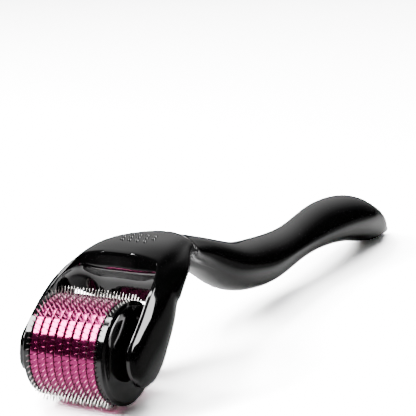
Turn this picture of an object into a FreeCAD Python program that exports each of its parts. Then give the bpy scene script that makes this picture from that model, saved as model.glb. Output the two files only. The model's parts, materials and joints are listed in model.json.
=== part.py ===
import FreeCAD, Part
import math
import os

from FreeCAD import Vector

# Micro-needling roller: a drum of steel needle discs and pink spacer rings that spins in the
# fork of an S-curved handle. Millimetres. Z is up and zero is the table, X runs along the
# handle to its butt, and Y is the axle of the drum. The origin is midway along the length.

# Drum
ring_radius = 9.0
needle_length = 1.0
needle_tip_radius = ring_radius + needle_length
disc_count = 9
disc_thickness = 0.3
disc_pitch = 1.59
ring_width = disc_pitch - disc_thickness
ring_edge_break = 0.12
disc_body_radius = ring_radius - 0.25
needles_per_disc = 60
needle_root_width = 0.26
needle_point_width = 0.02
hub_radius = 6.0
hub_wall = 1.6
hub_key_width = 2.0
hub_key_height = 0.9
slip_gap = 0.03
journal_radius = 2.2
cap_radius = 8.9
cap_band = 1.2
cap_dome = 1.3
cap_edge_round = 0.5

# Fork
arm_inner = 9.8
arm_outer = 12.2
arm_tip_radius = 5.1
arm_flat = 10.4
arm_round = 2.6
round_layers = 5
bore_gap = 0.05
bore_depth = 1.5
wall_radius = 15.8
wall_half_width = 9.8
wall_corner_round = 2.4
lip_slope = 0.62
dot_radius = 0.38
dot_height = 0.3
dot_root = 1.2
dot_spread = 1.5
top_height = 25.3

# Handle
butt_reach = 129.4
butt_lean = 0.16
shell_wall = 1.5
seam_level = 0.6

axle_x = -(butt_reach - needle_tip_radius) / 2
axle_z = needle_tip_radius
stack_half = disc_pitch * (disc_count - 1) / 2 + disc_thickness / 2
journal_end = arm_inner + bore_depth - 0.2


def at_axle(shape):
    """Move a shape drawn with the drum's centre at the origin to its place."""
    shape.translate(Vector(axle_x, 0, axle_z))
    return shape


def place_x(shape):
    """Move a shape drawn with the axle at x = 0 and the table at z = 0 to its place."""
    shape.translate(Vector(axle_x, 0, 0))
    return shape


def barrel(radius, y_start, y_end):
    """A cylinder about the drum's axle."""
    return Part.makeCylinder(radius, y_end - y_start, Vector(0, y_start, 0), Vector(0, 1, 0))


def save(shape, node):
    """Write one sub-part."""
    shape = shape.removeSplitter()
    if not shape.isValid():
        raise RuntimeError(node + " is not a valid solid")
    shape.exportStep("parts/" + node + ".step")
    print(node, len(shape.Solids), "solid", round(shape.Volume, 1), "mm3")


# ---------------------------------------------------------------- drum

def key_bar(grow, half_length):
    """The square key along the hub, grown by a fit gap for the slots."""
    width = hub_key_width + 2 * grow
    height = hub_key_height + grow + 1.0
    return Part.makeBox(width, 2 * half_length, height, Vector(-width / 2, -half_length, hub_radius - 1.0))


def hub_core():
    """Hollow hub with a key for the discs and a solid journal at each end."""
    hub = barrel(hub_radius, -stack_half, stack_half)
    hub = hub.cut(barrel(hub_radius - hub_wall, -stack_half + hub_wall, stack_half - hub_wall))
    hub = hub.fuse(key_bar(0, stack_half))
    for side in (-1, 1):
        journal = barrel(journal_radius, stack_half - 0.5, journal_end)
        ends = [edge for edge in journal.Edges if abs(edge.CenterOfMass.y - journal_end) < 0.01]
        journal = journal.makeChamfer(0.3, ends)
        if side < 0:
            journal = journal.mirror(Vector(0, 0, 0), Vector(0, 1, 0))
        hub = hub.fuse(journal)
    return at_axle(hub)


def needle_disc(y_centre, turn):
    """Stamped steel disc with sharp needles all round its edge."""
    points = []
    root_turn = math.asin(needle_root_width / 2 / disc_body_radius)
    point_turn = math.asin(needle_point_width / 2 / needle_tip_radius)
    for i in range(needles_per_disc):
        middle = 2 * math.pi * i / needles_per_disc + turn
        for radius, angle in (
            (disc_body_radius, middle - root_turn),
            (needle_tip_radius, middle - point_turn),
            (needle_tip_radius, middle + point_turn),
            (disc_body_radius, middle + root_turn),
        ):
            points.append(Vector(radius * math.cos(angle), 0, radius * math.sin(angle)))
    points.append(points[0])
    face = Part.Face(Part.makePolygon(points))
    disc = face.extrude(Vector(0, disc_thickness, 0))
    disc.translate(Vector(0, y_centre - disc_thickness / 2, 0))
    disc = disc.cut(barrel(hub_radius + slip_gap, y_centre - 1, y_centre + 1))
    disc = disc.cut(key_bar(slip_gap, stack_half + 1))
    return at_axle(disc)


def spacer_ring(y_centre):
    """Glossy ring that holds two neighbouring discs apart."""
    half = ring_width / 2
    ring = barrel(ring_radius, y_centre - half, y_centre + half)
    rims = [edge for edge in ring.Edges if edge.Length > 2 * math.pi * ring_radius * 0.99]
    ring = ring.makeChamfer(ring_edge_break, rims)
    ring = ring.cut(barrel(hub_radius + slip_gap, y_centre - 2, y_centre + 2))
    ring = ring.cut(key_bar(slip_gap, stack_half + 1))
    return at_axle(ring)


def end_cap(side):
    """Cover of one end of the drum: a straight band and a low dome, bored for the journal."""
    start = stack_half
    band_end = start + cap_band
    crown = band_end + cap_dome
    dome_radius = (cap_radius ** 2 + cap_dome ** 2) / (2 * cap_dome)
    cap = barrel(cap_radius, start, crown)
    dome = Part.makeSphere(dome_radius, Vector(0, crown - dome_radius, 0))
    cap = cap.common(dome)
    rim = [
        edge for edge in cap.Edges
        if edge.Length > 2 * math.pi * cap_radius * 0.99 and abs(edge.CenterOfMass.y - band_end) < 0.05
    ]
    cap = cap.makeFillet(cap_edge_round, rim)
    cap = cap.cut(barrel(journal_radius + slip_gap, start - 1, crown + 1))
    if side < 0:
        cap = cap.mirror(Vector(0, 0, 0), Vector(0, 1, 0))
    return at_axle(cap)


# ---------------------------------------------------------------- handle

def smooth_line(points):
    """Smooth edge through points."""
    curve = Part.BSplineCurve()
    curve.interpolate([Vector(*point) for point in points])
    return curve.toShape()


def oval_wire(centre, across, half_height, half_width, fullness):
    """Closed superellipse; fullness 2 is an ellipse and more is squarer."""
    count = 24
    points = []
    for i in range(count):
        angle = 2 * math.pi * i / count
        side = math.copysign(abs(math.cos(angle)) ** (2 / fullness), math.cos(angle))
        rise = math.copysign(abs(math.sin(angle)) ** (2 / fullness), math.sin(angle))
        points.append(centre + Vector(0, half_width * side, 0) + across * (half_height * rise))
    curve = Part.BSplineCurve()
    curve.interpolate(points, PeriodicFlag=True)
    return Part.Wire([curve.toShape()])


# Stations along the handle: x from the axle, height of the middle, half height, half width
# and fullness. The first ones flare into the wall behind the drum, the last ones round off
# the butt, which droops to the table.
stations = [
    (11.0, 19.9, 5.1, 9.7, 4.5),
    (14.5, 19.8, 5.3, 9.0, 4.5),
    (18.0, 20.1, 4.9, 7.3, 4.0),
    (23.5, 20.35, 4.1, 5.5, 2.8),
    (30.7, 19.6, 3.1, 4.2, 2.2),
    (38.5, 16.65, 3.6, 4.3, 2.0),
    (47.1, 12.75, 4.6, 5.5, 2.0),
    (55.0, 10.5, 4.9, 5.8, 2.0),
    (63.4, 9.45, 4.85, 5.8, 2.0),
    (79.8, 9.55, 3.85, 4.8, 2.0),
    (96.2, 9.95, 4.85, 5.9, 2.0),
    (104.5, 9.1, 5.25, 6.3, 2.0),
    (111.0, 7.65, 5.2, 6.2, 2.0),
    (116.0, 5.95, 4.75, 5.8, 2.0),
    (120.0, 4.5, 4.2, 5.3, 2.0),
    (123.8, 2.95, 2.8, 4.1, 2.0),
    (126.8, 1.9, 1.8, 2.9, 2.0),
    (128.8, 1.5, 1.15, 2.3, 2.0),
    (butt_reach - butt_lean, 1.3, 0.5, 1.2, 2.0),
]


def spine_frame(station, spine):
    """Middle of a station and the direction across the handle there."""
    centre = Vector(station[0], 0, station[1])
    tangent = spine.tangent(spine.parameter(centre))[0]
    return centre, Vector(-tangent.z, 0, tangent.x)


def handle_body(inset, first, last):
    """Lofted body of the handle between two stations, shrunk by an inset."""
    spine = Part.BSplineCurve()
    spine.interpolate([Vector(station[0], 0, station[1]) for station in stations])
    wires = []
    for station in stations[first:last]:
        centre, across = spine_frame(station, spine)
        _x, _z, half_height, half_width, fullness = station
        wires.append(oval_wire(centre, across, half_height - inset, half_width - inset, fullness))
    return Part.makeLoft(wires, True, False)


def below_seam():
    """Everything under the parting line of the two shells."""
    spine = Part.BSplineCurve()
    spine.interpolate([Vector(station[0], 0, station[1]) for station in stations])
    line = []
    for station in stations[3:]:
        centre, across = spine_frame(station, spine)
        point = centre - across * (station[2] * seam_level)
        line.append((point.x, -20, point.z))
    end = Vector(*line[-1]) + Vector(3, 0, 0)
    start = Vector(*line[0])
    seam = smooth_line(line)
    corners = [Vector(*line[-1]), end, Vector(end.x, -20, -20), Vector(start.x, -20, -20), start]
    rest = Part.makePolygon(corners)
    return Part.Face(Part.Wire([seam] + rest.Edges)).extrude(Vector(0, 40, 0))


def inset_line(points, inset, y):
    """Points of a line in the side view, moved inward by an inset."""
    curve = Part.BSplineCurve()
    curve.interpolate([Vector(x, 0, z) for x, z in points])
    moved = []
    for x, z in points:
        tangent = curve.tangent(curve.parameter(Vector(x, 0, z)))[0]
        moved.append((x + tangent.z * inset, y, z - tangent.x * inset))
    return moved


def side_outline(inset, y):
    """The head seen from the side: hood on top, arms sweeping forward to the axle."""
    def tip_point(degrees):
        reach = arm_tip_radius
        return (reach * math.cos(math.radians(degrees)), axle_z + reach * math.sin(math.radians(degrees)))

    top_points = [
        tip_point(142), (-1.2, 16.2), (1.7, 19.0), (4.4, 21.4), (7.2, 23.2), (10.4, 24.3),
        (14.5, 24.95), (19.5, 24.95), (24.5, 24.3), (28.5, 23.1), (33.0, 20.8),
    ]
    under_points = [
        (33.0, 19.6), (29.5, 21.1), (25.5, 21.9), (21.5, 21.8), (17.5, 21.0), (14.0, 19.6),
        (11.4, 16.8), (8.9, 12.9), (6.6, 9.6), tip_point(-42),
    ]
    top = inset_line(top_points, inset, y)
    under = inset_line(under_points, inset, y)
    low = Vector(-1.0, y, axle_z - math.sqrt((arm_tip_radius - inset) ** 2 - 1.0))
    tip = Part.Arc(Vector(*under[-1]), low, Vector(*top[0])).toShape()
    back = Part.makeLine(Vector(*top[-1]), Vector(*under[0]))
    return Part.Wire([smooth_line(top), back, smooth_line(under), tip])


def side_profile():
    """Slab of the side view whose outer faces round off, so that the arms are D-shaped."""
    slab = Part.Face(side_outline(0, -arm_flat)).extrude(Vector(0, 2 * arm_flat, 0))
    depth = arm_outer - arm_flat
    for side in (-1, 1):
        layers = []
        for step in range(round_layers):
            turn = math.radians(90 * step / round_layers)
            inset = arm_round * (1 - math.cos(turn))
            layers.append(side_outline(inset, side * (arm_flat + depth * math.sin(turn))))
        slab = slab.fuse(Part.makeLoft(layers, True, True))
    return slab


def plan_profile():
    """The head seen from above: narrow neck widening to the two arms."""
    half = [
        (33.0, 1.8, 0), (29.5, 3.8, 0), (25.8, 5.6, 0), (21.8, 7.6, 0), (18.0, 9.4, 0), (14.5, 10.7, 0),
        (10.5, 11.7, 0), (5.0, arm_outer, 0), (-8.0, arm_outer, 0),
    ]
    upper = smooth_line(half)
    lower = smooth_line([(x, -y, z) for x, y, z in half])
    rear = Part.makeLine(Vector(33.0, 1.8, 0), Vector(33.0, -1.8, 0))
    front = Part.makeLine(Vector(-8.0, arm_outer, 0), Vector(-8.0, -arm_outer, 0))
    return Part.Face(Part.Wire([upper, front, lower, rear])).extrude(Vector(0, 0, 40))


def arch_profile():
    """The head seen from the front: a low crown that rolls over into the arms."""
    half = [
        (0, arm_outer, 4.0), (0, arm_outer, 10.5), (0, 12.05, 13.5), (0, 11.65, 16.5), (0, 11.0, 18.8),
        (0, 10.3, 20.7), (0, 9.4, 22.3), (0, 8.2, 23.5), (0, 6.2, 24.4), (0, 3.0, 24.9),
    ]
    arch = half + [(0, 0, top_height)] + [(x, -y, z) for x, y, z in reversed(half)]
    base = Part.makeLine(Vector(0, -arm_outer, 4.0), Vector(0, arm_outer, 4.0))
    face = Part.Face(Part.Wire([smooth_line(arch), base]))
    face.translate(Vector(-10, 0, 0))
    return face.extrude(Vector(50, 0, 0))


def drum_space():
    """Room for the drum: a rounded drum-shaped hollow and the open mouth above it."""
    hollow = barrel(wall_radius, -wall_half_width, wall_half_width)
    hollow.translate(Vector(0, 0, axle_z))
    rims = [edge for edge in hollow.Edges if edge.Length > 6 * wall_radius]
    hollow = hollow.makeFillet(wall_corner_round, rims)
    front = Part.makeBox(40, 2 * wall_half_width, 40, Vector(-40, -wall_half_width, -10))
    lip_low = Vector(11.6, -20, 21.1)
    rise = 8.0
    lip_high = lip_low + Vector(-rise * lip_slope, 0, rise)
    outline = Part.makePolygon([
        lip_low, lip_high, Vector(-40, -20, lip_high.z), Vector(-40, -20, axle_z),
        Vector(4.0, -20, axle_z), lip_low,
    ])
    mouth = Part.Face(outline).extrude(Vector(0, 40, 0))
    half = [(0.0, wall_half_width, 0), (4.5, 9.3, 0), (8.0, 8.6, 0), (10.6, 7.7, 0), (12.0, 6.2, 0)]
    edge_up = smooth_line(half)
    edge_down = smooth_line([(x, -y, z) for x, y, z in half])
    end = Part.makeLine(Vector(12.0, 6.2, 0), Vector(12.0, -6.2, 0))
    start = Part.makeLine(Vector(0, wall_half_width, 0), Vector(0, -wall_half_width, 0))
    plan = Part.Face(Part.Wire([edge_up, end, edge_down, start])).extrude(Vector(0, 0, 40))
    return hollow.fuse(front).fuse(mouth.common(plan.fuse(front)))


def grip_dots():
    """Thirteen raised grip dots on the crown of the hood, in three staggered rows."""
    rows = [(15.2, 4), (17.1, 5), (19.0, 4)]
    dots = []
    for row_x, count in rows:
        for i in range(count):
            row_y = (i - (count - 1) / 2) * dot_spread
            crown = top_height - 0.05 - 0.012 * row_y ** 2
            foot = Vector(row_x, row_y, crown + dot_height - dot_root)
            dots.append(Part.makeCone(dot_radius, dot_radius * 0.7, dot_root, foot))
    return dots


def handle_shells():
    """The two shells: the upper one carries the hood and the arms, the lower one closes it."""
    body = handle_body(0, 0, len(stations))
    core = handle_body(shell_wall, 3, len(stations) - 4)
    under = below_seam()
    head = side_profile().common(plan_profile()).common(arch_profile())
    lower = body.cut(core).common(under)
    upper = body.cut(core).cut(under).fuse(head)
    upper = upper.cut(drum_space())
    for side in (-1, 1):
        bore = barrel(journal_radius + bore_gap, 0, arm_inner + bore_depth)
        bore.translate(Vector(0, 0, axle_z))
        if side < 0:
            bore = bore.mirror(Vector(0, 0, 0), Vector(0, 1, 0))
        upper = upper.cut(bore)
    for dot in grip_dots():
        upper = upper.fuse(dot)
    return place_x(upper), place_x(lower)


os.makedirs("parts", exist_ok=True)
upper_shell, lower_shell = handle_shells()
save(upper_shell, "handle_upper_shell")
save(lower_shell, "handle_lower_shell")
save(hub_core(), "hub_core")
save(end_cap(1), "left_end_cap")
save(end_cap(-1), "right_end_cap")
for disc_index in range(disc_count):
    disc_y = (disc_index - (disc_count - 1) / 2) * disc_pitch
    save(needle_disc(disc_y, 0), "needle_disc_" + str(disc_index + 1))
for ring_index in range(disc_count - 1):
    ring_y = (ring_index - (disc_count - 2) / 2) * disc_pitch
    save(spacer_ring(ring_y), "spacer_ring_" + str(ring_index + 1))
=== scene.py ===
import json
import math

import bmesh
import bpy
from mathutils.bvhtree import BVHTree
from mathutils import Matrix, Vector


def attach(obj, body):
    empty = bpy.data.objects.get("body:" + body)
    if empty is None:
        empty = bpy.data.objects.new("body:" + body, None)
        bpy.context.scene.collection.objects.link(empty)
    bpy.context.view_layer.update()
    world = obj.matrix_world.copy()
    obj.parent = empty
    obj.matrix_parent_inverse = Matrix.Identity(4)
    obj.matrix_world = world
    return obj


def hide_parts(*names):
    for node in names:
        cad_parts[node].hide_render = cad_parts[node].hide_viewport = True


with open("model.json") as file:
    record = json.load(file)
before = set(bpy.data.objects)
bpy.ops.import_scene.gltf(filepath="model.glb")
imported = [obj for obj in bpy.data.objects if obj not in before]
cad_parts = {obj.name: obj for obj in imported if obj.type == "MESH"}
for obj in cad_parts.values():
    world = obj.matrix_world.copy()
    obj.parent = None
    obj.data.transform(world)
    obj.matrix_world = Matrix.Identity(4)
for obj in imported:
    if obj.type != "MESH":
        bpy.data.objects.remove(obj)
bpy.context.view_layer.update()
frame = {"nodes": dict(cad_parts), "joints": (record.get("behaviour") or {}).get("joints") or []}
print("frame loaded:", len(frame["nodes"]), "nodes")

mm = 0.001
axleHeight = 10.0  # of the axle above the table, in millimetres
axle = Vector(frame["joints"][0]["pos_m"])
discNodes = sorted(name for name in frame["nodes"] if name.startswith("needle_disc"))
ringNodes = sorted(name for name in frame["nodes"] if name.startswith("spacer_ring"))


def fromAxle(x, y, z):
    # millimetres along the handle from the axle, and above the table, to metres in the frame
    return Vector((axle.x + x * mm, y * mm, z * mm))


def aboutAxle(radius, angle, y):
    return fromAxle(radius * math.cos(angle), y, axleHeight + radius * math.sin(angle))


def circle(count):
    return [2 * math.pi * i / count for i in range(count)]


def addObject(name, mesh):
    obj = bpy.data.objects.new(name, mesh)
    bpy.context.scene.collection.objects.link(obj)
    return obj


def shadeSmooth(mesh, sharpDegrees):
    # smooth everywhere, apart from edges that bend by more than this
    mesh.polygons.foreach_set("use_smooth", [True] * len(mesh.polygons))
    work = bmesh.new()
    work.from_mesh(mesh)
    limit = math.radians(sharpDegrees)
    for edge in work.edges:
        edge.smooth = not (len(edge.link_faces) == 2 and edge.calc_face_angle() > limit)
    work.to_mesh(mesh)
    work.free()


def applied(obj):
    # the object's mesh with its modifiers worked in
    graph = bpy.context.evaluated_depsgraph_get()
    mesh = bpy.data.meshes.new_from_object(obj.evaluated_get(graph))
    old = obj.data
    obj.modifiers.clear()
    obj.data = mesh
    bpy.data.meshes.remove(old)
    return obj


def setMaterial(obj, material):
    if not obj.data.materials:
        obj.data.materials.append(material)
    for slot in obj.material_slots:
        slot.material = material


def bridge(work, first, second):
    # a band of faces between two closed loops with the same number of points
    faces = []
    for j in range(len(first)):
        k = (j + 1) % len(first)
        faces.append(work.faces.new((first[j], first[k], second[k], second[j])))
    return faces


def uniqueVerts(verts):
    # the corners of a face, with none twice, so that a strip can end in a triangle
    unique = []
    for vert in verts:
        if vert not in unique:
            unique.append(vert)
    return unique


def groupSockets(group, inputs, outputs):
    for label, kind, value in inputs:
        socket = group.interface.new_socket(label, in_out="INPUT", socket_type=kind)
        socket.default_value = value
    for label, kind in outputs:
        group.interface.new_socket(label, in_out="OUTPUT", socket_type=kind)


def mouldedSkin():
    # faint flow waviness, rub marks and dust of a moulded gloss part
    group = bpy.data.node_groups.new("mouldedSkin", "ShaderNodeTree")
    groupSockets(
        group,
        [("Roughness", "NodeSocketFloat", 0.1), ("Rub", "NodeSocketFloat", 0.05),
         ("Wave", "NodeSocketFloat", 0.02), ("Grain", "NodeSocketFloat", 1.0)],
        [("Roughness", "NodeSocketFloat"), ("Normal", "NodeSocketVector")],
    )
    nodes, links = group.nodes, group.links
    entry = nodes.new("NodeGroupInput")
    out = nodes.new("NodeGroupOutput")
    place = nodes.new("ShaderNodeTexCoord")
    rubs = nodes.new("ShaderNodeTexNoise")
    rubs.inputs["Scale"].default_value = 90
    rubs.inputs["Detail"].default_value = 6
    rubs.inputs["Roughness"].default_value = 0.65
    links.new(place.outputs["Object"], rubs.inputs["Vector"])
    ramp = nodes.new("ShaderNodeMapRange")
    ramp.inputs["From Min"].default_value = 0.45
    ramp.inputs["From Max"].default_value = 0.75
    links.new(rubs.outputs["Fac"], ramp.inputs["Value"])
    extra = nodes.new("ShaderNodeMath")
    extra.operation = "MULTIPLY"
    links.new(ramp.outputs["Result"], extra.inputs[0])
    links.new(entry.outputs["Rub"], extra.inputs[1])
    total = nodes.new("ShaderNodeMath")
    total.operation = "ADD"
    links.new(extra.outputs[0], total.inputs[0])
    links.new(entry.outputs["Roughness"], total.inputs[1])
    links.new(total.outputs[0], out.inputs["Roughness"])
    flow = nodes.new("ShaderNodeTexNoise")
    flow.inputs["Detail"].default_value = 1
    scale = nodes.new("ShaderNodeMath")
    scale.operation = "MULTIPLY"
    scale.inputs[1].default_value = 120
    links.new(entry.outputs["Grain"], scale.inputs[0])
    links.new(scale.outputs[0], flow.inputs["Scale"])
    links.new(place.outputs["Object"], flow.inputs["Vector"])
    bump = nodes.new("ShaderNodeBump")
    bump.inputs["Distance"].default_value = 0.0002
    links.new(entry.outputs["Wave"], bump.inputs["Strength"])
    links.new(flow.outputs["Fac"], bump.inputs["Height"])
    links.new(bump.outputs["Normal"], out.inputs["Normal"])
    return group


skinGroup = mouldedSkin()


def startMaterial(name):
    material = bpy.data.materials.new(name)
    material.use_nodes = True
    shader = material.node_tree.nodes["Principled BSDF"]
    return material, shader


def addSkin(material, shader, values):
    skin = material.node_tree.nodes.new("ShaderNodeGroup")
    skin.node_tree = skinGroup
    for label, value in values.items():
        skin.inputs[label].default_value = value
    material.node_tree.links.new(skin.outputs["Roughness"], shader.inputs["Roughness"])
    material.node_tree.links.new(skin.outputs["Normal"], shader.inputs["Normal"])


def noiseColor(material, shader, low, high, scale):
    # base colour that drifts slightly between two tones
    nodes, links = material.node_tree.nodes, material.node_tree.links
    place = nodes.new("ShaderNodeTexCoord")
    noise = nodes.new("ShaderNodeTexNoise")
    noise.inputs["Scale"].default_value = scale
    noise.inputs["Detail"].default_value = 4
    ramp = nodes.new("ShaderNodeValToRGB")
    ramp.color_ramp.elements[0].position = 0.3
    ramp.color_ramp.elements[0].color = (*low, 1)
    ramp.color_ramp.elements[1].position = 0.7
    ramp.color_ramp.elements[1].color = (*high, 1)
    links.new(place.outputs["Object"], noise.inputs["Vector"])
    links.new(noise.outputs["Fac"], ramp.inputs["Fac"])
    links.new(ramp.outputs["Color"], shader.inputs["Base Color"])


def glossBlack(name, roughness, low, high):
    material, shader = startMaterial(name)
    noiseColor(material, shader, low, high, 60)
    addSkin(material, shader, {"Roughness": roughness, "Rub": 0.02, "Wave": 0.01, "Grain": 1.0})
    shader.inputs["IOR"].default_value = 1.55
    shader.inputs["Coat Weight"].default_value = 0.35
    shader.inputs["Coat Roughness"].default_value = 0.05
    return material


def pinkPlastic():
    material, shader = startMaterial("pinkRing")
    noiseColor(material, shader, (0.38, 0.014, 0.14), (0.48, 0.025, 0.19), 140)
    addSkin(material, shader, {"Roughness": 0.08, "Rub": 0.05, "Wave": 0.03, "Grain": 2.0})
    shader.inputs["Metallic"].default_value = 0.93
    shader.inputs["IOR"].default_value = 1.5
    shader.inputs["Coat Weight"].default_value = 0.5
    shader.inputs["Coat Roughness"].default_value = 0.08
    return material


def needleSteel():
    material, shader = startMaterial("needleSteel")
    noiseColor(material, shader, (0.46, 0.44, 0.42), (0.66, 0.64, 0.60), 500)
    addSkin(material, shader, {"Roughness": 0.22, "Rub": 0.15, "Wave": 0.04, "Grain": 6.0})
    shader.inputs["Metallic"].default_value = 1.0
    return material


def hubPlastic():
    material, shader = startMaterial("hubPlastic")
    noiseColor(material, shader, (0.03, 0.03, 0.033), (0.06, 0.06, 0.064), 200)
    addSkin(material, shader, {"Roughness": 0.5, "Rub": 0.1, "Wave": 0.2, "Grain": 10.0})
    return material


blackGloss = glossBlack("blackGloss", 0.05, (0.0015, 0.0015, 0.0017), (0.0028, 0.0028, 0.003))
capGloss = glossBlack("capGloss", 0.06, (0.0015, 0.0015, 0.0017), (0.003, 0.003, 0.0032))
pinkGloss = pinkPlastic()
steel = needleSteel()
hubMatte = hubPlastic()
print("materials made")

# handle: one control cage of rings, subdivided and parted into the two shells

handleShape = {
    "level": 3,               # rounds of subdivision in the finished shells
    "fitLevel": 2,            # and while the cage is fitted to its points
    "fitRounds": 4,
    "fitShare": 0.9,          # how much of the error each round takes away
    "neck": (30.5, 19.6),     # x and height of the middle of the last head ring
    "seamColumn": 8,          # the ring column that the parting line follows
    "seamRing": 3,            # the lower shell starts at this ring
    "rearInner": 10.1,        # y of an arm's rear edge
    "innerFace": 9.8,         # y of an arm's face beside the drum
    "sharp": 50,
}
# how sharp the cage's edges stay, from 0, smooth, to 1
creases = {"lip": 0.85, "lipFoot": 0.75, "wallFoot": 0.7, "cheek": 0.7}
# the same along an arm: the ring column, then its first stretch and the others
armCreases = ((0, 0.6, 0.6), (1, 0.3, 0.6), (2, 0.0, 0.55), (7, 0.55, 0.55))

# each head ring runs from the crown down one side to the belly, at y > 0, in millimetres
lipRing = [
    (9.6, 0, 24.35), (9.75, 4.0, 24.15), (9.9, 7.65, 23.2), (9.0, 8.7, 22.4), (8.5, 9.7, 21.5),
    (8.9, 10.8, 20.2), (10.2, 11.5, 18.2), (11.7, 11.2, 17.0), (12.2, 10.2, 16.5),
    (14.1, 8.0, 14.5), (14.5, 4.1, 14.3), (14.6, 0, 14.3),
]
headRings = [
    lipRing,
    [
        (13.8, 0, 25.1), (13.8, 3.9, 24.95), (13.9, 7.2, 24.2), (13.6, 8.7, 22.9), (13.5, 9.7, 22.0),
        (13.7, 10.6, 20.8), (14.3, 10.9, 19.6), (14.8, 10.2, 18.8), (15.1, 9.0, 18.0),
        (15.9, 7.5, 14.9), (15.9, 3.9, 14.5), (15.9, 0, 14.4),
    ],
    [
        (18.5, 0, 25.2), (18.5, 3.4, 25.1), (18.5, 6.2, 24.5), (18.5, 7.6, 23.2), (18.5, 8.5, 22.4),
        (18.6, 9.1, 21.5), (18.9, 9.2, 20.6), (19.2, 8.4, 19.8), (19.0, 6.8, 18.8),
        (18.6, 5.9, 16.7), (18.5, 3.1, 15.7), (18.5, 0, 15.5),
    ],
    [
        (23.0, 0, 24.9), (23.0, 2.7, 24.75), (23.0, 4.9, 24.15), (23.0, 6.0, 23.2), (23.0, 6.6, 22.7),
        (23.0, 7.0, 22.1), (23.1, 7.15, 21.4), (23.4, 6.3, 20.5), (23.3, 4.9, 19.3),
        (23.0, 4.1, 17.4), (23.0, 2.2, 16.2), (23.0, 0, 15.9),
    ],
    [
        (27.0, 0, 24.1), (27.0, 1.9, 24.0), (27.0, 3.8, 23.3), (27.0, 4.9, 22.7), (27.0, 5.5, 22.1),
        (27.0, 5.8, 21.2), (27.0, 5.75, 20.5), (27.1, 5.2, 19.9), (27.2, 3.7, 19.7),
        (27.0, 3.2, 17.6), (27.0, 1.7, 16.5), (27.0, 0, 16.2),
    ],
    [
        (30.5, 0, 22.9), (30.5, 1.3, 22.7), (30.5, 2.8, 22.1), (30.5, 3.7, 21.4), (30.5, 4.4, 20.7),
        (30.5, 4.75, 19.8), (30.5, 4.75, 18.9), (30.5, 4.3, 18.1), (30.4, 3.4, 17.9),
        (30.2, 2.5, 17.0), (30.1, 1.3, 16.5), (30.0, 0, 16.35),
    ],
]
# rows of the lip's face and the hollow wall under it, from the crown edge down, at y >= 0
wallRows = [
    [(9.35, 0, 21.2), (9.35, 3.8, 21.2), (9.6, 7.7, 21.4)],
    [(13.6, 0, 18.0), (13.4, 4.6, 18.0), (12.5, 8.3, 18.6)],
]
# oval stations of the grip: x, middle height, half height, half width
gripStations = [
    (38.5, 16.65, 3.6, 4.3), (47.1, 12.75, 4.6, 5.5), (55.0, 10.5, 4.9, 5.8), (63.4, 9.45, 4.85, 5.8),
    (71.6, 9.3, 4.25, 5.2), (79.8, 9.55, 3.85, 4.8), (88.0, 9.9, 4.2, 5.15), (96.2, 9.95, 4.85, 5.9),
    (104.5, 9.1, 5.25, 6.3), (111.0, 7.65, 5.2, 6.2), (116.0, 5.95, 4.75, 5.8), (120.0, 4.5, 4.2, 5.3),
    (123.8, 2.95, 2.8, 4.1), (126.8, 1.9, 1.8, 2.9), (128.6, 1.35, 1.1, 1.9),
]
ovalDegrees = (90, 72, 56, 43, 32, 18, 2, -17, -36.9, -54, -72, -90)
# stations of an arm: front x and z, rear x and z, how far out its inner front edge and outer face are
armStations = [
    (6.0, 20.8, 11.3, 15.9, 9.0, 11.55), (2.9, 18.9, 9.9, 13.3, 9.5, 11.85),
    (0.0, 16.5, 8.0, 10.6, 9.9, 12.0), (-2.6, 14.2, 6.1, 8.0, 10.0, 12.08),
    (-4.3, 12.7, 4.4, 6.2, 10.1, 12.08), (-5.2, 10.9, 2.4, 5.0, 10.1, 12.08),
    (-5.2, 8.8, 0.2, 4.7, 10.1, 12.08), (-4.5, 6.9, -2.1, 5.1, 10.3, 11.9),
]
# the share of its thickness that each station keeps, because the end of an arm rounds off
armSqueeze = (1, 1, 1, 1, 1, 1, 0.97, 0.82)


def ovalRing(station, tilt):
    x, z, halfHeight, halfWidth = station
    ring = []
    for angle in ovalDegrees:
        rise = halfHeight * math.sin(math.radians(angle))
        side = halfWidth * math.cos(math.radians(angle))
        ring.append((x - rise * math.sin(tilt), side, z + rise * math.cos(tilt)))
    return ring


def gripRings():
    rings = []
    line = [handleShape["neck"]] + [station[:2] for station in gripStations]
    for i, station in enumerate(gripStations):
        before = line[i]
        after = line[min(i + 2, len(line) - 1)]
        rings.append(ovalRing(station, math.atan2(after[1] - before[1], after[0] - before[0])))
    return rings


def armRing(station, squeeze):
    # D-shaped section: flat inner face, narrow flat front, rounded outer face
    frontX, frontZ, rearX, rearZ, inner, outer = station
    face = handleShape["innerFace"]
    middle = (inner + 1.0 + outer) / 2
    columns = [
        (0.05, inner), (0.0, inner + 0.15), (0.01, inner + 0.8),
        (0.14, min(inner + 1.65, outer - 0.45)), (0.31, outer - 0.1), (0.55, outer),
        (0.9, outer - 0.45), (1.0, handleShape["rearInner"]), (0.8, face), (0.42, max(face, inner - 0.3)),
    ]
    ring = []
    for along, y in columns:
        y = middle + (y - middle) * squeeze
        ring.append((frontX + (rearX - frontX) * along, y, frontZ + (rearZ - frontZ) * along))
    return ring


def mirrored(point):
    return (point[0], -point[1], point[2])


def cagePoint(cage, point):
    return cage.verts.new(fromAxle(*point))


def closeButt(cage, ring):
    # strips straight across the end, from the crown to the belly
    for j in range(len(ring) // 2):
        face = cage.faces.new(uniqueVerts((ring[j], ring[j + 1], ring[-j - 1], ring[-j])))
        face.material_index = int(j >= handleShape["seamColumn"])


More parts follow.
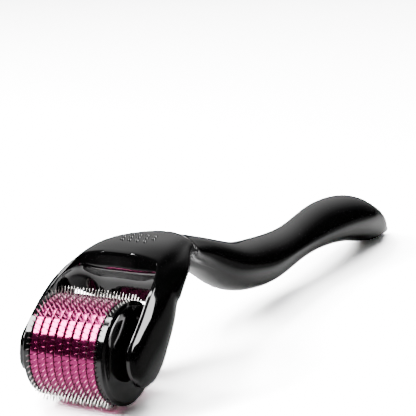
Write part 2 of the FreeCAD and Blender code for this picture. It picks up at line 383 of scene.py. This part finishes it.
def addRings(cage):
    # the head and the grip; material 1 marks the faces of the lower shell
    rings = []
    for half in headRings + gripRings():
        full = half + [mirrored(point) for point in reversed(half[1:-1])]
        rings.append([cagePoint(cage, point) for point in full])
    seam = handleShape["seamColumn"]
    for i, (ring, after) in enumerate(zip(rings, rings[1:])):
        for j, face in enumerate(bridge(cage, ring, after)):
            low = seam <= j < len(ring) - seam
            face.material_index = int(low and i >= handleShape["seamRing"])
    closeButt(cage, rings[-1])
    return rings[0]


def markCrease(layer, first, second, value):
    for edge in first.link_edges:
        if edge.other_vert(first) is second:
            edge[layer] = value


def addMouth(cage, crease, lip):
    # the lip's face and the hollow wall behind the drum, in rows from one arm to the other
    rows = [[lip[-2], lip[-1], lip[0], lip[1], lip[2]]]
    for half in wallRows:
        full = [mirrored(half[2]), mirrored(half[1])] + half
        rows.append([cagePoint(cage, point) for point in full])
    rows.append([lip[-9], lip[-10], lip[11], lip[10], lip[9]])
    for upper, lower in zip(rows, rows[1:]):
        for j in range(4):
            cage.faces.new((upper[j], upper[j + 1], lower[j + 1], lower[j]))
    for row, label in ((rows[0], "lip"), (rows[1], "lipFoot"), (rows[3], "wallFoot")):
        for j in range(4):
            markCrease(crease, row[j], row[j + 1], creases[label])
    return rows


def addArm(cage, crease, lip, rows, side):
    # an arm grows out of the side of the mouth, one ring for each station
    end = 4 if side > 0 else 0
    markCrease(crease, rows[0][end], rows[1][end], creases["cheek"])
    last = [rows[1][end]] + [lip[side * j] for j in range(2, 10)] + [rows[2][end]]
    for i, (station, squeeze) in enumerate(zip(armStations, armSqueeze)):
        ring = [cagePoint(cage, (x, side * y, z)) for x, y, z in armRing(station, squeeze)]
        bridge(cage, last, ring)
        for j, first, other in armCreases:
            markCrease(crease, last[j], ring[j], first if i == 0 else other)
        last = ring
    for j in range(4):
        cage.faces.new((last[j], last[j + 1], last[8 - j], last[9 - j]))


def handleMesh():
    cage = bmesh.new()
    crease = cage.edges.layers.float.new("crease_edge")
    lip = addRings(cage)
    rows = addMouth(cage, crease, lip)
    for side in (1, -1):
        addArm(cage, crease, lip, rows, side)
    bmesh.ops.recalc_face_normals(cage, faces=cage.faces)
    mesh = bpy.data.meshes.new("handleCage")
    cage.to_mesh(mesh)
    cage.free()
    for _shell in range(2):
        mesh.materials.append(blackGloss)
    return mesh


def subdivided(cageMesh):
    # the cage is moved until the smooth surface passes through its points
    obj = addObject("handleBody", cageMesh)
    modifier = obj.modifiers.new("smooth", "SUBSURF")
    goal = [vert.co.copy() for vert in cageMesh.vertices]
    for _round in range(handleShape["fitRounds"]):
        modifier.levels = handleShape["fitLevel"]
        bpy.context.view_layer.update()
        graph = bpy.context.evaluated_depsgraph_get()
        smooth = obj.evaluated_get(graph).data
        for vert, target in zip(cageMesh.vertices, goal):
            vert.co += (target - smooth.vertices[vert.index].co) * handleShape["fitShare"]
        cageMesh.update()
    modifier.levels = handleShape["level"]
    return applied(obj)


def partShell(body, name, keepIndex):
    # keep one shell's faces and close it straight across along the parting line
    work = bmesh.new()
    work.from_mesh(body.data)
    drop = [face for face in work.faces if face.material_index != keepIndex]
    bmesh.ops.delete(work, geom=drop, context="FACES")
    rim = [edge for edge in work.edges if edge.is_boundary]
    farSide = [vert for vert in work.verts if vert.is_boundary and vert.co.y < 1e-7]

    def across(vert):
        # the rim point straight across, which in the middle plane is the point itself
        mirror = Vector((vert.co.x, -vert.co.y, vert.co.z))
        return min(farSide, key=lambda other: (other.co - mirror).length)

    for edge in rim:
        a, b = edge.verts
        if a.co.y + b.co.y > 0:
            work.faces.new(uniqueVerts((a, b, across(b), across(a))))
    for face in work.faces:
        face.material_index = 0
    bmesh.ops.recalc_face_normals(work, faces=work.faces)
    mesh = bpy.data.meshes.new(name)
    work.to_mesh(mesh)
    openEdges = sum(1 for edge in work.edges if edge.is_boundary)
    work.free()
    mesh.materials.append(blackGloss)
    shadeSmooth(mesh, handleShape["sharp"])
    print(name, len(mesh.polygons), "faces,", openEdges, "open edges")
    return addObject(name, mesh)


bores = {"radius": 2.25, "end": 11.3, "lead": 1.5, "sides": 48}


def boreTool():
    # a round plug for each arm, from well inside the fork to the blind end of the bore
    work = bmesh.new()
    for side in (-1, 1):
        loops = []
        for y in (handleShape["innerFace"] - bores["lead"], bores["end"]):
            points = [aboutAxle(bores["radius"], angle, side * y) for angle in circle(bores["sides"])]
            loops.append([work.verts.new(point) for point in points])
        bridge(work, *loops)
        for loop in loops:
            work.faces.new(loop)
    bmesh.ops.recalc_face_normals(work, faces=work.faces)
    mesh = bpy.data.meshes.new("boreTool")
    work.to_mesh(mesh)
    work.free()
    return addObject("boreTool", mesh)


def cutBores(obj):
    # the drum's journals turn in these
    tool = boreTool()
    modifier = obj.modifiers.new("bores", "BOOLEAN")
    modifier.operation = "DIFFERENCE"
    modifier.solver = "EXACT"
    modifier.object = tool
    applied(obj)
    bpy.data.objects.remove(tool)
    shadeSmooth(obj.data, handleShape["sharp"])
    print("bores cut,", len(obj.data.polygons), "faces")


# rows of grip dots: x and how many, from the lip back
dots = {"rows": ((15.2, 4), (17.1, 5), (19.0, 4)), "spacing": 1.5, "radius": 0.42, "rise": 0.32, "sides": 20}
# a dot's outline from its sunk skirt to its top, in shares of its radius and its rise
dotOutline = ((1.12, -0.3), (1.08, 0.0), (0.98, 0.35), (0.8, 0.75), (0.45, 0.97))


def addDot(work, spot, turn):
    loops = []
    for reach, rise in dotOutline:
        loop = []
        for angle in circle(dots["sides"]):
            outward = Vector((math.cos(angle), math.sin(angle), 0)) * reach * dots["radius"] * mm
            upward = Vector((0, 0, rise * dots["rise"] * mm))
            loop.append(work.verts.new(spot + turn @ (outward + upward)))
        loops.append(loop)
    for lower, upper in zip(loops, loops[1:]):
        bridge(work, lower, upper)
    work.faces.new(loops[-1])
    work.faces.new(loops[0][::-1])


def addDots(obj):
    # small domes that stand on the crown, each square to the surface under it
    work = bmesh.new()
    work.from_mesh(obj.data)
    tree = BVHTree.FromBMesh(work)
    made = 0
    for rowX, count in dots["rows"]:
        for i in range(count):
            above = fromAxle(rowX, (i - (count - 1) / 2) * dots["spacing"], 40)
            spot, normal, _face, _distance = tree.ray_cast(above, Vector((0, 0, -1)))
            addDot(work, spot, normal.to_track_quat("Z", "Y").to_matrix())
            made += 1
    work.to_mesh(obj.data)
    work.free()
    shadeSmooth(obj.data, handleShape["sharp"])
    print(made, "grip dots")


handleBody = subdivided(handleMesh())
upperShell = partShell(handleBody, "handleUpper", 0)
lowerShell = partShell(handleBody, "handleLower", 1)
bpy.data.objects.remove(handleBody)
cutBores(upperShell)
addDots(upperShell)
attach(upperShell, "handle")
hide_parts("handle_upper_shell")
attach(lowerShell, "handle")
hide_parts("handle_lower_shell")
print("handle made")

# drum: end caps, rings and needle discs, turned about the axle

drum = {
    "half": 6.51,         # y where the end caps start
    "pitch": 1.59,        # from one disc to the next
    "hubRadius": 6.03,
}


def latheLoop(work, profile, segments):
    # the profile is a closed line of radius and y, turned once about the axle
    loops = []
    for angle in circle(segments):
        loops.append([work.verts.new(aboutAxle(radius, angle, y)) for radius, y in profile])
    for i, loop in enumerate(loops):
        bridge(work, loop, loops[(i + 1) % segments])


def finishPiece(work, name, material, rideOn, node, sharp):
    bmesh.ops.recalc_face_normals(work, faces=work.faces)
    mesh = bpy.data.meshes.new(name)
    work.to_mesh(mesh)
    work.free()
    mesh.materials.append(material)
    shadeSmooth(mesh, sharp)
    obj = addObject(name, mesh)
    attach(obj, rideOn)
    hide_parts(node)


def arcPoints(centreRadius, centreY, reach, firstDegrees, lastDegrees, count):
    points = []
    for i in range(count):
        angle = math.radians(firstDegrees + (lastDegrees - firstDegrees) * i / (count - 1))
        points.append((centreRadius + reach * math.sin(angle), centreY + reach * math.cos(angle)))
    return points


endCap = {
    "bore": 2.25,
    "band": 8.88,                 # radius of the straight band
    "bandEnd": 7.72,
    "edgeBreak": 0.1,
    "chamfer": (0.07, 0.12),      # how far it takes the band in, and back
    "shoulder": 8.25,             # radius of the small rounded step
    "shoulderEnd": 8.02,
    "shoulderRound": 0.3,
    "crown": 8.98,                # y of the top of the low dome
    "domePoints": 13,
    "domePower": 2.1,
    "segments": 160,
    "sharp": 28,
}


def capProfile():
    # inner face, straight band, narrow chamfer, small rounded step, then the low dome down to the bore
    start, crown, bore, band = drum["half"], endCap["crown"], endCap["bore"], endCap["band"]
    shoulder, shoulderEnd, shoulderRound = endCap["shoulder"], endCap["shoulderEnd"], endCap["shoulderRound"]
    edgeBreak, bandEnd = endCap["edgeBreak"], endCap["bandEnd"]
    chamferIn, chamferBack = endCap["chamfer"]
    points = [(bore, start), (band - edgeBreak, start), (band, start + edgeBreak)]
    points += [(band, bandEnd - chamferBack), (band - chamferIn, bandEnd)]
    points += arcPoints(shoulder - shoulderRound, shoulderEnd - 0.18, shoulderRound, 78, 28, 5)
    rise = crown - shoulderEnd
    reach = shoulder - 0.4
    for i in range(1, endCap["domePoints"] + 1):
        radius = reach + (bore + 0.25 - reach) * i / endCap["domePoints"]
        points.append((radius, crown - rise * (radius / reach) ** endCap["domePower"]))
    points.append((bore, points[-1][1] - 0.12))
    return points


def makeCaps():
    for sign, name, node in ((1, "endCapLeft", "left_end_cap"), (-1, "endCapRight", "right_end_cap")):
        work = bmesh.new()
        latheLoop(work, [(radius, sign * y) for radius, y in capProfile()], endCap["segments"])
        finishPiece(work, name, capGloss, "roller", node, endCap["sharp"])


makeCaps()

# sag is how much lower the outer face is at its edges than in its middle
spacer = {"width": 1.42, "radius": 8.86, "edge": 0.07, "sag": 0.01, "steps": 8, "segments": 144, "sharp": 35}


def ringProfile(middle):
    # a slightly barrelled outer face with softly broken edges
    half, edge = spacer["width"] / 2, spacer["edge"]
    outer = []
    for i in range(spacer["steps"] + 1):
        across = -1 + 2 * i / spacer["steps"]
        outer.append((spacer["radius"] - spacer["sag"] * across * across, middle + (half - edge) * across))
    low = outer[0][0]
    sides = [(low - edge * 0.3, middle - half + edge * 0.3), (low - edge, middle - half)]
    sides = sides[::-1] + outer + [(radius, 2 * middle - y) for radius, y in sides]
    return [(drum["hubRadius"], middle - half)] + sides + [(drum["hubRadius"], middle + half)]


def makeRings():
    for i, node in enumerate(ringNodes):
        middle = (i - (len(ringNodes) - 1) / 2) * drum["pitch"]
        work = bmesh.new()
        latheLoop(work, ringProfile(middle), spacer["segments"])
        name = "spacerRing" + str(i + 1)
        finishPiece(work, name, pinkGloss, "roller", node, spacer["sharp"])


makeRings()

needleDisc = {
    "needles": 60,
    "turn": 2.45,         # degrees from one disc's needles to the next disc's
    "plate": 8.6,         # radius of the plate that carries them
    "half": 0.08,         # half its thickness
    "edgeBreak": 0.03,
    "segments": 120,
    "sharp": 20,
}
# sections of a needle from its root out: radius, half width along the edge, half thickness
needleSections = [
    (8.5, 0.11, 0.078), (9.1, 0.1, 0.078), (9.5, 0.07, 0.068), (9.82, 0.032, 0.035), (9.985, 0.007, 0.008),
]


def addNeedle(work, angle, middle):
    rows = []
    for radius, halfWidth, halfThick in needleSections:
        turn = halfWidth / radius
        row = []
        for side, end in ((-1, -1), (1, -1), (1, 1), (-1, 1)):
            row.append(work.verts.new(aboutAxle(radius, angle + side * turn, middle + end * halfThick)))
        rows.append(row)
    for lower, upper in zip(rows, rows[1:]):
        bridge(work, lower, upper)
    work.faces.new(rows[0])
    work.faces.new(rows[-1])


def plateProfile(middle):
    bore, plate = drum["hubRadius"], needleDisc["plate"]
    half, edge = needleDisc["half"], needleDisc["edgeBreak"]
    return [
        (bore, middle - half), (plate - edge, middle - half), (plate, middle - half + edge),
        (plate, middle + half - edge), (plate - edge, middle + half), (bore, middle + half),
    ]


def makeDiscs():
    for i, node in enumerate(discNodes):
        middle = (i - (len(discNodes) - 1) / 2) * drum["pitch"]
        work = bmesh.new()
        latheLoop(work, plateProfile(middle), needleDisc["segments"])
        for angle in circle(needleDisc["needles"]):
            addNeedle(work, angle + math.radians(needleDisc["turn"]) * i, middle)
        name = "needleDisc" + str(i + 1)
        finishPiece(work, name, steel, "roller", node, needleDisc["sharp"])


makeDiscs()
setMaterial(frame["nodes"]["hub_core"], hubMatte)
print("drum made")

# floor, backdrop and light

stage = {
    "size": 3.0,
    # what the gloss mirrors is a painted pool of light round brightSpot that fades out, and painted shade
    # where the sheet lies in front of the object
    "brightSpot": (-0.02, 0.03, 0),
    "fade": (0.08, 0.25),               # from the spot, where its mirrored light starts and ends its fall
    "mirrored": (0.55, 0.03),           # how bright it is at each
    "frontFade": (-0.032, -0.006),      # the same along y, for the sheet in front of the object
    "front": (0.1, 1.0),
    "cameraWhite": 9.0,
}

floorMesh = bpy.data.meshes.new("paper")
reach = stage["size"]
floorCorners = [(-reach, -reach, 0), (reach, -reach, 0), (reach, reach, 0), (-reach, reach, 0)]
floorMesh.from_pydata(floorCorners, [], [(0, 1, 2, 3)])
paper = addObject("paper", floorMesh)


def whitePaper():
    # plain white for the eye; in mirrored light the sheet carries a painted pool of light, bright behind the
    # object and ending softly, with painted shade on the sheet in front of the object
    material, shader = startMaterial("whitePaper")
    nodes, links = material.node_tree.nodes, material.node_tree.links

    def ramped(value, fade, brightness):
        node = nodes.new("ShaderNodeMapRange")
        node.interpolation_type = "SMOOTHSTEP"
        for label, number in zip(("From Min", "From Max", "To Min", "To Max"), fade + brightness):
            node.inputs[label].default_value = number
        links.new(value, node.inputs["Value"])
        return node.outputs["Result"]

    place = nodes.new("ShaderNodeTexCoord")
    reach = nodes.new("ShaderNodeVectorMath")
    reach.operation = "DISTANCE"
    reach.inputs[1].default_value = stage["brightSpot"]
    links.new(place.outputs["Object"], reach.inputs[0])
    behind = nodes.new("ShaderNodeVectorMath")
    behind.operation = "DOT_PRODUCT"
    behind.inputs[1].default_value = (0, 1, 0)
    links.new(place.outputs["Object"], behind.inputs[0])
    spread = nodes.new("ShaderNodeMath")
    spread.operation = "MULTIPLY"
    # painted pool of light round the spot, times painted shade on the sheet in front of the object
    links.new(ramped(reach.outputs["Value"], stage["fade"], stage["mirrored"]), spread.inputs[0])
    links.new(ramped(behind.outputs["Value"], stage["frontFade"], stage["front"]), spread.inputs[1])
    mirrorSheet = nodes.new("ShaderNodeBsdfDiffuse")
    links.new(spread.outputs[0], mirrorSheet.inputs["Color"])
    shader.inputs["Base Color"].default_value = (0.8, 0.8, 0.8, 1)
    shader.inputs["Roughness"].default_value = 0.6
    bright = nodes.new("ShaderNodeBsdfDiffuse")
    white = stage["cameraWhite"]
    bright.inputs["Color"].default_value = (white, white, white, 1)
    path = nodes.new("ShaderNodeLightPath")
    glossy = nodes.new("ShaderNodeMixShader")
    links.new(path.outputs["Is Glossy Ray"], glossy.inputs["Fac"])
    links.new(shader.outputs[0], glossy.inputs[1])
    links.new(mirrorSheet.outputs[0], glossy.inputs[2])
    mix = nodes.new("ShaderNodeMixShader")
    links.new(path.outputs["Is Camera Ray"], mix.inputs["Fac"])
    links.new(glossy.outputs[0], mix.inputs[1])
    links.new(bright.outputs[0], mix.inputs[2])
    links.new(mix.outputs[0], nodes["Material Output"].inputs["Surface"])
    return material


setMaterial(paper, whitePaper())


studio = {
    "glowDirection": (0.74, 0.49, 0.46),
    # how near a direction is to the glow's, and how bright the room is there
    "glow": [(0.62, 0.002), (0.76, 0.05), (0.86, 0.2), (0.94, 0.36), (1.0, 0.5)],
    "cameraWhite": 9.0,
}


def studioWorld():
    # a dark room with one soft glow behind the object; a plain white ground for the camera
    world = bpy.data.worlds.new("studio")
    world.use_nodes = True
    nodes, links = world.node_tree.nodes, world.node_tree.links
    room = nodes["Background"]
    place = nodes.new("ShaderNodeTexCoord")
    toGlow = nodes.new("ShaderNodeVectorMath")
    toGlow.operation = "DOT_PRODUCT"
    toGlow.inputs[1].default_value = studio["glowDirection"]
    ramp = nodes.new("ShaderNodeValToRGB")
    stops = studio["glow"]
    for (position, value), stop in zip((stops[0], stops[-1]), ramp.color_ramp.elements):
        stop.position = position
        stop.color = (value, value, value, 1)
    for position, value in stops[1:-1]:
        ramp.color_ramp.elements.new(position).color = (value, value, value, 1)
    links.new(place.outputs["Generated"], toGlow.inputs[0])
    links.new(toGlow.outputs["Value"], ramp.inputs["Fac"])
    links.new(ramp.outputs["Color"], room.inputs["Color"])
    room.inputs["Strength"].default_value = 1.0
    ground = nodes.new("ShaderNodeBackground")
    ground.inputs["Color"].default_value = (1, 1, 1, 1)
    ground.inputs["Strength"].default_value = studio["cameraWhite"]
    path = nodes.new("ShaderNodeLightPath")
    mix = nodes.new("ShaderNodeMixShader")
    links.new(path.outputs["Is Camera Ray"], mix.inputs["Fac"])
    links.new(room.outputs[0], mix.inputs[1])
    links.new(ground.outputs[0], mix.inputs[2])
    links.new(mix.outputs[0], nodes["World Output"].inputs["Surface"])
    return world


bpy.context.scene.world = studioWorld()


def softbox(name, direction, distance, width, height, power, roll=0.0):
    # a rectangular lamp that faces the head from a direction, turned by roll degrees
    target = fromAxle(2, 0, 13)
    lamp = bpy.data.lights.new(name, "AREA")
    lamp.shape = "RECTANGLE"
    lamp.size, lamp.size_y = width, height
    lamp.energy = power
    obj = addObject(name, lamp)
    obj.visible_camera = False
    away = Vector(direction).normalized()
    obj.location = target + away * distance
    turn = away.to_track_quat("Z", "Y").to_matrix() @ Matrix.Rotation(math.radians(roll), 3, "Z")
    obj.rotation_euler = turn.to_euler()
    return obj


# the left box makes the drum's bright band and the strip along the arm
softbox("leftBox", (-0.455, 0.55, 0.65), distance=0.6, width=0.13, height=0.33, power=5.0, roll=39)
softbox("stripBox", (-0.08, 0.42, 0.9), distance=0.58, width=0.2, height=0.11, power=2.0)
# the right one makes the long drop beside it
rightBox = softbox("rightBox", (0.05, -0.7, 0.7), distance=0.6, width=0.42, height=0.5, power=13.0)
rightBox.visible_diffuse = False
topFill = softbox("topFill", (0.1, 0.05, 1.0), distance=1.2, width=1.1, height=1.1, power=16.0)
topFill.visible_glossy = False

# camera: a long lens, from the drum's end and the near side, a little above the object

camera = addObject("camera", bpy.data.cameras.new("camera"))
camera.data.lens = 132.18
camera.data.sensor_width = 36
camera.data.clip_start = 0.01
lookAlong = Vector((0.85477, 0.46805, -0.22435)).normalized()
lookUp = Vector((0.21203, 0.07965, 0.97403)).normalized()
lookRight = lookAlong.cross(lookUp).normalized()
turnMatrix = Matrix((lookRight, lookUp, -lookAlong)).transposed()
camera.matrix_world = Matrix.Translation(fromAxle(-206.44, -136.505, 90.4)) @ turnMatrix.to_4x4()
bpy.context.scene.camera = camera
